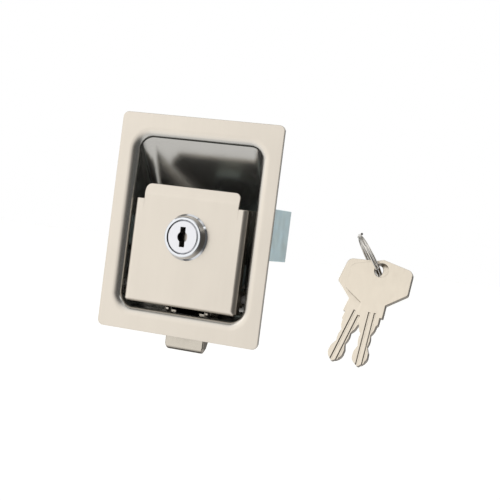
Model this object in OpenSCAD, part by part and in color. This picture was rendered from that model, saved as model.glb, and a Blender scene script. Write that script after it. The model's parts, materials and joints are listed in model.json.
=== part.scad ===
// Flush paddle lock for a sheet metal cabinet door, with its two keys.
// Pulling the top of the paddle turns it on a pin and lifts the spring bolt.
// The key turns a cam behind a keeper, so that the locked paddle stays shut.
// Frame in mm: +Z up, the front faces -Y, and y = 0 is the rear face of the plate, on the door.

/* [Plate and tray] */
// width of the front plate
plate_width = 87; // [80:0.5:110]
// height of the front plate
plate_height = 106; // [100:0.5:130]
// radius of the plate's corners
plate_corner = 3; // [1:0.5:6]
// thickness of the steel sheet of the tray, paddle and brackets
sheet = 1.5; // [1.2:0.1:2]
// clear width between the tray's side walls
recess_width = 66.4; // [64:0.2:72]
// clear height between the tray's lower wall and upper lip
recess_height = 83.2; // [80:0.2:90]
// depth from the plate's front to the tray's floor
recess_depth = 24; // [23:0.5:30]
// corner radius of the tray's opening
recess_corner = 7; // [5:0.5:10]
// radius of the drawn lip round the opening
lip_radius = 3; // [2.5:0.1:4]
// inside radius between the tray's floor and its walls
floor_fillet = 4; // [2:0.5:5]
// height at which the sloping finger scoop meets the floor, above the plate's centre
scoop_foot = 12; // [9:0.5:16]

/* [Paddle] */
// gap between the paddle's side flanges and the tray's walls
paddle_side_gap = 3; // [2.6:0.1:6]
// gap between the tray's lower wall and the paddle's lower edge
paddle_gap = 2.6; // [2.4:0.1:5]
// height of the paddle's body, up to the shoulders beside the tab
paddle_body = 50.5; // [48:0.1:52]
// distance by which the paddle's face stands out of the plate's front
paddle_proud = 1.1; // [0:0.1:1.5]
// depth of the paddle's side flanges
paddle_flange = 5; // [4:0.2:6]
// outer radius of the paddle's folded edges
paddle_fold = 2.3; // [1.6:0.1:2.5]
// distance from the paddle's sides to the finger tab's sides
tab_inset = 4.7; // [2.5:0.1:8]
// height of the finger tab above the shoulders
tab_height = 7.7; // [6:0.1:9]
// height of the tab's bend above the shoulders
tab_bend = 2.7; // [2:0.1:4]
// angle by which the tab's upper strip leans back
tab_tilt = 14; // [5:1:25]
// corner radius of the tab
tab_corner = 3; // [1:0.5:4]
// angle to which the paddle can be pulled out
pull_angle = 40; // [30:1:45]

/* [Hinge] */
// height of the hinge axis above the paddle's lower edge
hinge_height = 8.25; // [7.5:0.05:8.8]
// depth of the hinge axis behind the plate's front
hinge_depth = 5.9; // [5.7:0.1:6.5]
// diameter of the hinge pin
pin_diameter = 3; // [2.6:0.1:4.4]
// length of the drive lever from the hinge axis to its nose
lever_length = 13; // [12.5:0.1:13.4]
// radius of the drive lever's nose
lever_nose = 2.2; // [1.5:0.1:2.4]
// width of the drive lever over its two cheeks
lever_width = 11; // [8:0.2:11.4]
// wire diameter of the paddle's return springs
return_wire = 1.2; // [0.8:0.1:1.3]
// coil diameter of the paddle's return springs, to the wire's centre
return_coil = 6.4; // [6:0.1:6.8]

/* [Lock cylinder] */
// gap between the top of the bolt guide and the lock's barrel
lock_gap = 1.05; // [0.5:0.05:4]
// diameter of the bezel where it meets the paddle
bezel_base = 22.8; // [21:0.2:26]
// diameter of the bezel's front rim
bezel_front = 19.8; // [19:0.2:21]
// height of the bezel in front of the paddle
bezel_height = 4.3; // [3.5:0.1:6]
// diameter of the threaded barrel
barrel_diameter = 18; // [17:0.2:19]
// distance across the barrel's two flats
barrel_flats = 16; // [15:0.2:16.4]
// length of the barrel behind the paddle
barrel_length = 15.2; // [13:0.2:15.6]
// diameter of the plug's face
plug_face = 16.5; // [15:0.1:17]
// thickness of the plug's head
plug_head = 2; // [1.5:0.1:3]
// diameter of the plug's body
plug_diameter = 12.6; // [12.4:0.1:13]
// height of the keyway
keyway_height = 9.6; // [8:0.2:10]
// width of the keyway
keyway_width = 2.7; // [2.4:0.1:3]
// diameter of the round recess in the keyway's middle
keyway_eye = 5.2; // [4:0.1:6]
// angle of the keyway from upright
keyway_turn = 2; // [0:1:10]
// number of wafers
wafer_count = 6; // [4:1:7]
// distance from one wafer to the next
wafer_pitch = 2.2; // [2:0.1:2.4]
// thickness of a wafer
wafer_thickness = 0.9; // [0.7:0.05:1]
// reach of the cam from the lock's axis
cam_reach = 17; // [15:0.2:19]
// thickness of the cam
cam_thickness = 2; // [1.5:0.1:2.5]

/* [Bolt] */
// width of the bolt's nose
bolt_width = 21; // [19:0.2:22]
// width of the bolt's body behind the paddle
bolt_body_width = 25; // [24.6:0.2:27]
// depth of the bolt's flat front behind the plate's front
bolt_depth = 10.6; // [10.4:0.1:11]
// thickness of the bolt's nose
bolt_thickness = 8.6; // [7:0.1:9]
// reach of the bolt's tip below the plate's lower edge
bolt_reach = 7.2; // [4:0.1:7.8]
// angle of the bevel on the bolt's back
bolt_bevel = 25; // [20:1:35]
// flat that is left at the bolt's tip
bolt_tip = 2.2; // [1.5:0.1:3]
// wire diameter of the bolt's springs
bolt_wire = 0.8; // [0.5:0.05:0.9]
// coil diameter of the bolt's springs, to the wire's centre
bolt_coil = 3.5; // [3:0.1:3.7]

/* [Clamp] */
// height of the clamp strap
strap_height = 25; // [18:0.2:30]
// height of the clamp's centre above the plate's centre
strap_centre = 1.5; // [-2:0.5:4]
// thickness of the clamp strap
strap_sheet = 2; // [1.5:0.1:3]
// room between the tray's side wall and the clamp's leg
leg_gap = 1.9; // [1.8:0.1:3]
// thickest door that the clamp can grip, as delivered
grip_open = 7.4; // [4:0.2:10]
// thinnest door that the clamp can grip
grip_least = 1; // [0.8:0.1:2]
// distance between the two clamp studs
stud_spacing = 30; // [20:1:44]
// diameter of the clamp studs
stud_diameter = 5; // [4:0.5:6]

/* [Keys] */
// width of a key's bow
bow_width = 29.6; // [24:0.2:32]
// thickness of a key
key_thickness = 2.2; // [1.8:0.1:2.2]
// length of a key's blade below its shoulders
blade_length = 23.2; // [20:0.2:26]
// width of a key's blade at its widest
blade_width = 9.4; // [8:0.1:10]
// diameter of the hole in a key's bow
bow_hole = 6.6; // [6.2:0.1:7.4]
// wire diameter of the key ring
ring_wire = 1.1; // [0.8:0.1:1.2]
// diameter of the key ring to the wire's centre
ring_diameter = 22.4; // [21:0.2:24]

/* [Hidden] */
$fn = 64;

// clearances: running on a pin, sliding side to side, beside a piece that only sits there
run_fit = 0.05;
slide_gap = 0.3;
seat_gap = 0.1;
// length by which a cutter stands out of what it cuts
over = 1;

// planes of the sheet: plate front, end of the lip, tray floor and tray back
front_y = -sheet;
lip_y = front_y + lip_radius;
floor_y = front_y + recess_depth;
back_y = floor_y + sheet;
wall_x = recess_width / 2;
wall_z = recess_height / 2;
// lean of the scoop's face away from the plate's plane
scoop_lean = atan2(floor_y - lip_y, wall_z - scoop_foot);

// paddle
paddle_front = front_y - paddle_proud;
paddle_back = paddle_front + sheet;
paddle_width = recess_width - 2 * paddle_side_gap;
tab_width = paddle_width - 2 * tab_inset;
paddle_low = -wall_z + paddle_gap;
shoulder_z = paddle_low + paddle_body;
tab_top = shoulder_z + tab_height;
hinge_y = front_y + hinge_depth;
hinge_z = paddle_low + hinge_height;
pin_r = pin_diameter / 2;
// ear of the paddle and boss of the lever round the pin, and the bushes' wall
ear_r = 4;
bush_wall = 0.6;
// notch where the paddle's folded edges meet
fold_notch = 1;

// drive lever: spot welded to the paddle's back, its nose level with the pin at rest
lever_lift = lever_length * sin(pull_angle);
lever_base = 8;
lever_top = hinge_z + ear_r + lever_base - 1;
nose_y = hinge_y + lever_length;

// bolt: front, body back and nose back, with the pocket that the lever's nose lifts
bolt_y = front_y + bolt_depth;
bolt_back = floor_y - slide_gap;
nose_back = bolt_y + bolt_thickness;
bolt_tip_z = -plate_height / 2 - bolt_reach;
bolt_stop = -wall_z + seat_gap;
pocket_half = lever_width / 2 + 2 * slide_gap;
pocket_play = 0.5;
pocket_top = hinge_z + lever_nose + pocket_play;
pocket_low = hinge_z - lever_nose - lever_lift - pocket_play;
pocket_back = nose_y + lever_nose + 2 * slide_gap;
bolt_ledge = 3;
bolt_top = pocket_top + bolt_ledge;
bolt_chamfer = floor_fillet + slide_gap;
// two nibs on the bolt's front that show below the paddle
nib_width = 2.4;
nib_height = 2.6;
nib_proud = 1.4;
nib_x = 10.8;
// spring bores in the bolt's body
bore_r = (bolt_coil + bolt_wire) / 2 + slide_gap;
bore_x = (pocket_half + bolt_body_width / 2) / 2;
bore_y = (bolt_y + bolt_back) / 2;
bore_depth = 12;
bore_low = bolt_top - bore_depth;

// guide: a hat over the bolt's body, closed at the top where the springs bear
guide_in = bolt_body_width / 2 + slide_gap;
guide_out = guide_in + sheet;
guide_front = bolt_y - slide_gap - sheet;
guide_low = bolt_stop + nib_height + lever_lift + 2 * slide_gap;
guide_roof = bolt_top + lever_lift + slide_gap;
guide_top = guide_roof + sheet;
guide_foot = 7.2;
notch_half = lever_width / 2 + 3 * slide_gap;
notch_top = hinge_z + (ear_r + (bolt_y - hinge_y) * sin(pull_angle)) / cos(pull_angle) + slide_gap;
rivet_r = 1.5;
rivet_head_r = 2.4;
rivet_head = 1.2;
rivet_x = guide_out + guide_foot / 2;
// distance of the rivets from the guide's upper and lower edge
rivet_inset = 3.2;

// lock cylinder, along y
lock_z = guide_top + lock_gap + barrel_diameter / 2;
bezel_y = paddle_front - bezel_height;
barrel_end = paddle_back + barrel_length;
plug_end = barrel_end + 0.2;
cam_y = plug_end;
cam_back = cam_y + cam_thickness;
tail_side = 7;
washer_thickness = 0.8;
nut_height = 4;
nut_flats = barrel_diameter + 4;
cam_washer_thickness = 1;
screw_head = 2.2;
screw_head_r = 4;
screw_r = 2;
cam_hub = 7.5;
cam_nose = 3.6;
wafer_half = 2.5;
wafer_start = bezel_y + plug_head + 2;
plug_bevel = 0.7;
eye_depth = plug_head + 1;
wafer_r = plug_diameter / 2 - seat_gap;
// pocket at the side of each wafer for its spring
lug_out = 1.7;
lug_low = -2;
lug_height = 1;
pocket_high = 3.6;
wafer_coil = 0.6;
wafer_wire = 0.2;

// keeper: stands on the floor, its lip in front of the turned cam
keeper_lip_y = cam_y - 2 * slide_gap - sheet;
keeper_near = barrel_diameter / 2 + 2;
keeper_far = cam_reach + 3.5;
keeper_foot = 7;
keeper_half = 7.2;

// clamp strap: legs beside the tray, whose ends press on the door, and a web behind it
leg_in = wall_x + sheet + leg_gap;
leg_out = leg_in + strap_sheet;
strap_bend = 3;
strap_corner = 2;
grip_travel = grip_open - grip_least;
web_y = back_y + grip_travel + 2 * slide_gap;
web_back = web_y + strap_sheet;
stud_r = stud_diameter / 2;
stud_washer = 1;
stud_nut = 4;
stud_end = web_back + stud_washer + stud_nut + 2.5;

// keys: they lean back together, the rear one a step behind the front one
key_tilt = 20;
key_hole = [100, front_y - key_thickness, -7.8];
key_step = [[0, 0, 0], [-3.4, key_thickness + slide_gap, 0.2]];
key_lean = [0.2, 13];
neck_height = 6.2;
neck_half = 5.9;
bow_shoulder = 6;
bow_side = 11.5;
bow_peak = 3.8;
hole_drop = 5.1;
bow_low = blade_length + neck_height + bow_shoulder;
bow_high = bow_low + bow_side;
bow_top = bow_high + bow_peak;
hole_height = bow_top - hole_drop;
groove_depth = 0.5;
groove_width = 0.9;
ring_r = ring_diameter / 2;
// the ring's plane runs from front to back; it goes through both holes halfway down its front
ring_down = [0.5142, 0.1779, -0.839];
ring_away = [-0.4212, 0.9045, -0.0663];
ring_pass = key_hole + [-1.45, 1.93, -1.04];
ring_centre = ring_pass - ring_r * sqrt(0.5) * (ring_down - ring_away);

// helpers

// extrude a drawing in (x, z) along y
module along_y(y0, y1) {
    translate([0, y1, 0])
        rotate([90, 0, 0])
            linear_extrude(y1 - y0)
                children();
}

// extrude a drawing in (y, z) along x
module along_x(x0, x1) {
    translate([x0, 0, 0])
        rotate([90, 0, 90])
            linear_extrude(x1 - x0)
                children();
}

// extrude a drawing in (x, y) along z
module along_z(z0, z1) {
    translate([0, 0, z0])
        linear_extrude(z1 - z0)
            children();
}

// turn a profile drawn in (radius, y) round the lock's axis
module round_lock() {
    translate([0, 0, lock_z])
        rotate([-90, 0, 0])
            rotate_extrude()
                children();
}

// rectangle from corner to corner
module box2d(x0, y0, x1, y1) {
    translate([x0, y0])
        square([x1 - x0, y1 - y0]);
}

module both_sides() {
    for (side = [0, 1])
        mirror([side, 0, 0])
            children();
}

module rounded_plate(width, height, radius) {
    square([width - 2 * radius, height], center = true);
    square([width, height - 2 * radius], center = true);
    for (x = [-1, 1], y = [-1, 1])
        translate([x * (width / 2 - radius), y * (height / 2 - radius)])
            circle(radius);
}

function unit(v) = v / norm(v);

// what a round of this radius takes off a corner whose edges leave along the two directions
module corner_sliver(corner, way_1, way_2, radius) {
    a = unit(way_1);
    b = unit(way_2);
    half = acos(a * b) / 2;
    middle = corner + unit(a + b) * radius / sin(half);
    difference() {
        polygon([corner, corner + a * radius / tan(half), middle, corner + b * radius / tan(half)]);
        translate(middle)
            circle(radius);
    }
}

// bar with round ends of two radii, its sides a hair inside the tangents so that they cut both circles
module bar2d(p1, r1, p2, r2) {
    way = p2 - p1;
    turn = atan2(way[1], way[0]);
    open = acos((r1 - r2) / norm(way));
    left = [cos(turn + open), sin(turn + open)];
    right = [cos(turn - open), sin(turn - open)];
    inside = 0.998;
    translate(p1)
        circle(r1);
    translate(p2)
        circle(r2);
    polygon([p1 + inside * r1 * left, p1 + inside * r1 * right,
             p2 + inside * r2 * right, p2 + inside * r2 * left]);
}

// round wire along a path of points
function heading(path, i) = unit(path[min(i + 1, len(path) - 1)] - path[max(i - 1, 0)]);
function frames(path, way, i = 0) =
    i == len(path) ? [] :
    let (ahead = heading(path, i), side = unit(way - (way * ahead) * ahead))
        concat([[side, cross(ahead, side)]], frames(path, side, i + 1));

module wire(path, diameter, sides, way) {
    rings = len(path);
    sideways = frames(path, way);
    points = [for (i = [0:rings - 1], j = [0:sides - 1])
        let (a = 360 * j / sides)
            path[i] + diameter / 2 * (cos(a) * sideways[i][0] + sin(a) * sideways[i][1])];
    skin = [for (i = [0:rings - 2], j = [0:sides - 1], half = [0, 1])
        let (a = i * sides + j, b = i * sides + (j + 1) % sides, c = b + sides, d = a + sides)
            half == 0 ? [a, d, c] : [a, c, b]];
    ends = [[for (j = [0:sides - 1]) j], [for (j = [sides - 1:-1:0]) (rings - 1) * sides + j]];
    polyhedron(points, concat(skin, ends));
}

// upright coil whose end turns lie closed
function coil_rise(turns, t) = min(max(t - 1, 0), turns - 2) / (turns - 2);
function coil(radius, low, high, diameter, turns, steps) =
    let (shut = diameter * 1.05, open = high - low - diameter - 2 * shut)
        [for (i = [0:turns * steps])
            let (t = i / steps, close = (min(t, 1) + max(t - turns + 1, 0)) * shut)
                [radius * cos(360 * t), radius * sin(360 * t),
                 low + diameter / 2 + close + open * coil_rise(turns, t)]];

// tray

// the lip's cross section in (distance from the corner's axis, y)
module lip_section() {
    intersection() {
        box2d(recess_corner - over, front_y - over, recess_corner + lip_radius, lip_y);
        translate([recess_corner + lip_radius, lip_y])
            difference() {
                circle(lip_radius);
                circle(lip_radius - sheet);
            }
    }
}

module lip() {
    axis_x = wall_x - recess_corner;
    axis_z = wall_z - recess_corner;
    both_sides()
        along_z(-axis_z, axis_z)
            translate([axis_x, 0])
                lip_section();
    for (side = [0, 1])
        mirror([0, 0, side])
            along_x(-axis_x, axis_x)
                translate([0, axis_z])
                    mirror([1, -1])
                        lip_section();
    for (quarter = [0:3])
        translate([axis_x * (quarter % 3 == 0 ? 1 : -1), 0, axis_z * (quarter < 2 ? -1 : 1)])
            rotate([0, 90 * quarter, 0])
                rotate([-90, 0, 0])
                    rotate_extrude(angle = 90)
                        lip_section();
}

// the recess or, with the sheet's thickness as skin, the outside of its walls
module recess(skin, start) {
    foot = scoop_foot + skin * tan(scoop_lean / 2);
    head = wall_z + skin / sin(scoop_lean);
    deep = floor_y + skin;
    low = -wall_z - skin;
    wide = wall_x + skin;
    intersection() {
        along_y(start, deep)
            rounded_plate(2 * wide, 2 * (wall_z + skin), recess_corner + skin);
        along_x(-wide, wide)
            difference() {
                polygon([[start, low], [deep, low], [deep, foot], [lip_y, head], [start, head]]);
                corner_sliver([deep, low], [-1, 0], [0, 1], floor_fillet + skin);
            }
        along_z(low, head)
            difference() {
                box2d(-wide, start, wide, deep);
                corner_sliver([wide, deep], [-1, 0], [0, -1], floor_fillet + skin);
                corner_sliver([-wide, deep], [1, 0], [0, -1], floor_fillet + skin);
            }
    }
}

module hinge_rod(radius, x0, x1) {
    along_x(x0, x1)
        translate([hinge_y, hinge_z])
            circle(radius);
}

module tray() {
    color("silver")
        difference() {
            union() {
                along_y(front_y, 0)
                    difference() {
                        rounded_plate(plate_width, plate_height, plate_corner);
                        rounded_plate(recess_width + 2 * lip_radius, recess_height + 2 * lip_radius,
                                      recess_corner + lip_radius);
                    }
                lip();
                difference() {
                    recess(sheet, lip_y);
                    recess(0, lip_y - over);
                }
            }
            hinge_rod(pin_r + run_fit, -wall_x - 2 * sheet, wall_x + 2 * sheet);
            // slot in the lower wall for the bolt's nose
            along_z(-wall_z - 2 * sheet, -wall_z + over)
                box2d(-bolt_width / 2 - slide_gap, bolt_y - slide_gap,
                      bolt_width / 2 + slide_gap, nose_back + slide_gap);
            // rivet holes of the bolt guide
            rivet_places()
                along_y(floor_y - over, back_y + over)
                    circle(rivet_r);
        }
}

// hinge

module hinge_pin() {
    color("gainsboro") {
        difference() {
            hinge_rod(pin_r, -wall_x - sheet - rivet_head, wall_x + sheet + 1.5);
            // groove for the clip
            difference() {
                hinge_rod(pin_r + over, wall_x + sheet + seat_gap, wall_x + sheet + 1.1);
                hinge_rod(pin_r - 0.5, wall_x, wall_x + sheet + 2);
            }
        }
        hinge_rod(pin_r + 0.8, -wall_x - sheet - rivet_head, -wall_x - sheet);
    }
}

// open retaining ring on the pin's right end
module pin_clip() {
    color("dimgray")
        along_x(wall_x + sheet + seat_gap + 0.1, wall_x + sheet + 1)
            translate([hinge_y, hinge_z])
                difference() {
                    circle(pin_r + 1.4);
                    circle(pin_r - 0.45);
                    box2d(0, -pin_r + 0.6, pin_r + 3, pin_r - 0.6);
                }
}

// bushes that keep the paddle in the middle of the tray
module pin_spacers() {
    color("whitesmoke")
        both_sides()
            along_x(paddle_width / 2 + seat_gap, wall_x - seat_gap)
                translate([hinge_y, hinge_z])
                    difference() {
                        circle(pin_r + bush_wall);
                        circle(pin_r + run_fit);
                    }
}

// each spring pushes the paddle's foot outwards and leans on the tray's floor
module return_springs() {
    turns = 4;
    steps = 20;
    near = guide_out + 2;
    pitch = return_wire * 1.2;
    radius = return_coil / 2;
    rest_y = floor_y - return_wire / 2 - seat_gap;
    winding = [for (i = [0:turns * steps + steps / 4])
        let (t = i / steps)
            [near + pitch * t, hinge_y - radius * cos(360 * t), hinge_z + radius * sin(360 * t)]];
    inner_leg = [[near, paddle_back + return_wire / 2 + seat_gap, paddle_low + sheet + 1],
                 [near, hinge_y - radius, hinge_z - 1]];
    outer_x = near + pitch * (turns + 0.25);
    outer_leg = [[outer_x, hinge_y + 2, hinge_z + radius], [outer_x, rest_y, hinge_z + radius + 2]];
    color("slategray")
        both_sides()
            wire(concat(inner_leg, winding, outer_leg), return_wire, 8, [1, 0, 0]);
}

// paddle

module paddle_hole() {
    translate([0, lock_z])
        intersection() {
            circle(barrel_diameter / 2 + seat_gap);
            square([barrel_flats + 2 * seat_gap, barrel_diameter + over], center = true);
        }
}

// face with its folded sides and its shorter folded lower edge, which meet in notched corners
module paddle_pan() {
    half = paddle_width / 2;
    rear = paddle_front + paddle_flange;
    difference() {
        intersection() {
            along_z(paddle_low, shoulder_z)
                difference() {
                    box2d(-half, paddle_front, half, rear);
                    corner_sliver([half, paddle_front], [-1, 0], [0, 1], paddle_fold);
                    corner_sliver([-half, paddle_front], [1, 0], [0, 1], paddle_fold);
                }
            along_x(-half, half)
                difference() {
                    box2d(paddle_front, paddle_low, rear, shoulder_z);
                    corner_sliver([paddle_front, paddle_low], [1, 0], [0, 1], paddle_fold);
                }
        }
        along_z(paddle_low + sheet, shoulder_z + over)
            box2d(-half + sheet, paddle_back, half - sheet, rear + over);
        along_x(-half + sheet, half - sheet)
            box2d(rear - sheet, paddle_low - over, rear + over, paddle_low + sheet + over);
        both_sides()
            along_y(paddle_front - over, rear + over)
                box2d(half - fold_notch, paddle_low - over, half + over, paddle_low + fold_notch);
    }
}

module paddle() {
    half = paddle_width / 2;
    color("lightgray")
        difference() {
            union() {
                paddle_pan();
                finger_tab();
                // ears for the pin
                both_sides()
                    along_x(half - sheet, half) {
                        translate([hinge_y, hinge_z])
                            circle(ear_r);
                        box2d(paddle_front + paddle_fold, hinge_z - ear_r, hinge_y, hinge_z + ear_r);
                    }
            }
            hinge_rod(pin_r + run_fit, -half - over, half + over);
            along_y(paddle_front - over, paddle_back + over)
                paddle_hole();
        }
}

// tab at the top edge, its upper strip leaning back
module finger_tab() {
    bend = shoulder_z + tab_bend;
    lean = (tab_top - bend) * tan(tab_tilt);
    low = shoulder_z - over;
    intersection() {
        along_x(-tab_width / 2, tab_width / 2)
            polygon([[paddle_front, low], [paddle_front, bend], [paddle_front + lean, tab_top],
                     [paddle_front + lean + sheet / cos(tab_tilt), tab_top],
                     [paddle_back, bend - sheet * tan(tab_tilt / 2)], [paddle_back, low]]);
        along_y(paddle_front - over, paddle_back + 2 * over + lean)
            difference() {
                box2d(-tab_width / 2, low - over, tab_width / 2, tab_top);
                corner_sliver([tab_width / 2, tab_top], [-1, 0], [0, -1], tab_corner);
                corner_sliver([-tab_width / 2, tab_top], [1, 0], [0, -1], tab_corner);
            }
    }
}

// U-shaped lever on the paddle's back: its cheeks turn on the pin and lift the bolt
module drive_lever() {
    half = lever_width / 2;
    color("darkgray")
        difference() {
            union() {
                along_x(-half, half)
                    box2d(paddle_back, lever_top - lever_base, paddle_back + sheet, lever_top);
                both_sides()
                    along_x(half - sheet, half) {
                        translate([hinge_y, hinge_z])
                            circle(ear_r);
                        bar2d([hinge_y, hinge_z], lever_nose, [nose_y, hinge_z], lever_nose);
                        polygon([[paddle_back, lever_top], [paddle_back + sheet, lever_top],
                                 [hinge_y + ear_r * sin(60), hinge_z + ear_r * cos(60)],
                                 [hinge_y - ear_r * sin(60), hinge_z - ear_r * cos(60)],
                                 [paddle_back, hinge_z]]);
                    }
            }
            hinge_rod(pin_r + run_fit, -half - over, half + over);
        }
}

// lock cylinder

module cylinder_body() {
    head_r = plug_face / 2 + run_fit;
    bore = plug_diameter / 2 + run_fit;
    rim = 0.6;
    color("gainsboro")
        difference() {
            union() {
                round_lock()
                    polygon([[0, bezel_y], [bezel_front / 2 - rim, bezel_y],
                             [bezel_front / 2, bezel_y + rim],
                             [bezel_base / 2 - rim / 2, paddle_front - rim],
                             [bezel_base / 2, paddle_front], [0, paddle_front]]);
                along_y(paddle_front - over, barrel_end)
                    translate([0, lock_z])
                        intersection() {
                            circle(barrel_diameter / 2);
                            square([barrel_flats, barrel_diameter + over], center = true);
                        }
            }
            round_lock() {
                box2d(0, bezel_y - over, head_r, bezel_y + plug_head + seat_gap);
                box2d(0, bezel_y - over, bore, barrel_end + over);
            }
        }
}

// spring washer with slots in its inner edge
module lock_washer() {
    teeth = 12;
    color("darkgray")
        along_y(paddle_back, paddle_back + washer_thickness)
            translate([0, lock_z])
                difference() {
                    circle(nut_flats / 2);
                    circle(barrel_diameter / 2 + seat_gap);
                    for (i = [0:teeth - 1])
                        rotate(360 / teeth * i)
                            box2d(0, -0.4, barrel_diameter / 2 + 1, 0.4);
                }
}

module cylinder_nut() {
    y0 = paddle_back + washer_thickness;
    color("silver")
        along_y(y0, y0 + nut_height)
            translate([0, lock_z])
                difference() {
                    circle(nut_flats / 2 / cos(30), $fn = 6);
                    circle(barrel_diameter / 2 + run_fit);
                }
}

// keyway through the wafers, with a shallow round recess in its middle that leads the key in
module keyway() {
    along_y(bezel_y - over, wafer_y(wafer_count))
        translate([0, lock_z])
            rotate(keyway_turn)
                square([keyway_width, keyway_height], center = true);
    along_y(bezel_y - over, bezel_y + eye_depth)
        translate([0, lock_z])
            circle(keyway_eye / 2);
}

// wafer slot, open at both sides of the plug, with the pocket of its spring
module wafer_slot(gap) {
    square([2 * (wafer_half + gap), plug_diameter + over], center = true);
    box2d(0, lug_low - gap, wafer_half + lug_out + gap, pocket_high);
}

module plug() {
    color("ghostwhite")
        difference() {
            union() {
                round_lock() {
                    polygon([[0, bezel_y], [plug_face / 2 - plug_bevel, bezel_y],
                             [plug_face / 2, bezel_y + plug_bevel], [plug_face / 2, bezel_y + plug_head],
                             [0, bezel_y + plug_head]]);
                    box2d(0, bezel_y + over, plug_diameter / 2, plug_end);
                }
                along_y(plug_end - over, cam_back - 0.2)
                    translate([0, lock_z])
                        square(tail_side, center = true);
            }
            keyway();
            for (i = [0:wafer_count - 1])
                along_y(wafer_y(i) - run_fit, wafer_y(i) + wafer_thickness + run_fit)
                    translate([0, lock_z])
                        rotate(keyway_turn)
                            wafer_slot(run_fit);
            along_y(wafer_y(wafer_count) + over, cam_back + over)
                translate([0, lock_z])
                    circle(screw_r);
        }
}

function wafer_y(i) = wafer_start + wafer_pitch * i;

// brass wafers, lined up as they stand with the key in
module wafers() {
    color("goldenrod")
        for (i = [0:wafer_count - 1])
            along_y(wafer_y(i), wafer_y(i) + wafer_thickness)
                translate([0, lock_z])
                    rotate(keyway_turn)
                        difference() {
                            union() {
                                intersection() {
                                    square([2 * wafer_half, plug_diameter], center = true);
                                    circle(wafer_r);
                                }
                                box2d(0, lug_low, wafer_half + lug_out, lug_low + lug_height);
                            }
                            square([keyway_width + 0.6, keyway_height * 0.86], center = true);
                        }
}

// one small spring above each wafer's lug
module wafer_springs() {
    low = lug_low + lug_height;
    color("dimgray")
        for (i = [0:wafer_count - 1])
            translate([0, wafer_y(i) + wafer_thickness / 2, lock_z])
                rotate([0, -keyway_turn, 0])
                    translate([wafer_half + lug_out / 2 + seat_gap, 0, 0])
                        wire(coil(wafer_coil / 2, low, pocket_high, wafer_wire, 5, 8),
                             wafer_wire, 4, [1, 0, 0]);
}

module cam() {
    color("silver")
        along_y(cam_y, cam_back)
            translate([0, lock_z])
                difference() {
                    bar2d([0, 0], cam_hub, [0, cam_reach - cam_nose], cam_nose);
                    square(tail_side + 2 * run_fit, center = true);
                }
}

module cam_washer() {
    color("darkgray")
        along_y(cam_back, cam_back + cam_washer_thickness)
            translate([0, lock_z])
                difference() {
                    circle(tail_side * 0.75);
                    circle(screw_r + seat_gap);
                }
}

module cam_screw() {
    head_y = cam_back + cam_washer_thickness;
    color("silver")
        difference() {
            round_lock() {
                box2d(0, head_y, screw_head_r, head_y + screw_head * 0.6);
                box2d(0, head_y, screw_head_r * 0.8, head_y + screw_head);
                box2d(0, wafer_y(wafer_count) + 2 * over, screw_r - run_fit, head_y + over);
            }
            // cross recess
            along_y(head_y + screw_head * 0.45, head_y + screw_head + over)
                translate([0, lock_z]) {
                    square([4, 0.9], center = true);
                    square([0.9, 4], center = true);
                }
        }
}

// keeper that the turned cam hooks behind, spot welded to the floor
module keeper() {
    color("silver")
        along_z(lock_z - keeper_half, lock_z + keeper_half)
            difference() {
                union() {
                    box2d(-keeper_far, keeper_lip_y, -keeper_near, keeper_lip_y + sheet);
                    box2d(-keeper_far - sheet, keeper_lip_y, -keeper_far, floor_y);
                    box2d(-keeper_far - keeper_foot, floor_y - sheet, -keeper_far, floor_y);
                }
                corner_sliver([-keeper_far - sheet, keeper_lip_y], [1, 0], [0, 1], sheet);
                corner_sliver([-keeper_far, floor_y], [-1, 0], [0, -1], sheet);
            }
}

// bolt

module latch_bolt() {
    nose_low = (nose_back - bolt_y - bolt_tip - 0.8) / tan(bolt_bevel);
    round_off = 2.4;
    tip_half = bolt_width / 2 - 0.9;
    color("silver")
        difference() {
            union() {
                along_x(-bolt_body_width / 2, bolt_body_width / 2)
                    polygon([[bolt_y, bolt_stop], [bolt_back - bolt_chamfer, bolt_stop],
                             [bolt_back, bolt_stop + bolt_chamfer],
                             [bolt_back, bolt_top], [bolt_y, bolt_top]]);
                intersection() {
                    along_x(-bolt_width / 2, bolt_width / 2)
                        difference() {
                            polygon([[bolt_y, bolt_stop + over], [nose_back, bolt_stop + over],
                                     [nose_back, bolt_tip_z + nose_low],
                                     [bolt_y + bolt_tip + 0.8, bolt_tip_z], [bolt_y, bolt_tip_z]]);
                            corner_sliver([bolt_y, bolt_tip_z], [1, 0], [0, 1], round_off);
                        }
                    along_y(bolt_y - over, nose_back + over)
                        polygon([[-bolt_width / 2, bolt_stop + over], [bolt_width / 2, bolt_stop + over],
                                 [bolt_width / 2, bolt_tip_z + 2.7], [tip_half, bolt_tip_z],
                                 [-tip_half, bolt_tip_z], [-bolt_width / 2, bolt_tip_z + 2.7]]);
                }
                // nibs on the front of the bolt's shoulders
                both_sides()
                    along_x(nib_x - nib_width / 2, nib_x + nib_width / 2)
                        difference() {
                            box2d(bolt_y - nib_proud, bolt_stop, bolt_y + over, bolt_stop + nib_height);
                            corner_sliver([bolt_y - nib_proud, bolt_stop + nib_height],
                                          [1, 0], [0, -1], nib_proud);
                        }
            }
            // pocket for the lever's nose
            along_x(-pocket_half, pocket_half)
                box2d(bolt_y - over, pocket_low, pocket_back, pocket_top);
            both_sides()
                translate([bore_x, bore_y, 0])
                    along_z(bore_low, bolt_top + over)
                        circle(bore_r);
        }
}

module bolt_springs() {
    color("slategray")
        both_sides()
            translate([bore_x, bore_y, 0])
                wire(coil(bolt_coil / 2, bore_low + run_fit, guide_roof - run_fit, bolt_wire, 8, 16),
                     bolt_wire, 6, [1, 0, 0]);
}

module rivet_places() {
    for (x = [-rivet_x, rivet_x], z = [guide_low + rivet_inset, guide_top - rivet_inset])
        translate([x, 0, z])
            children();
}

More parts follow.
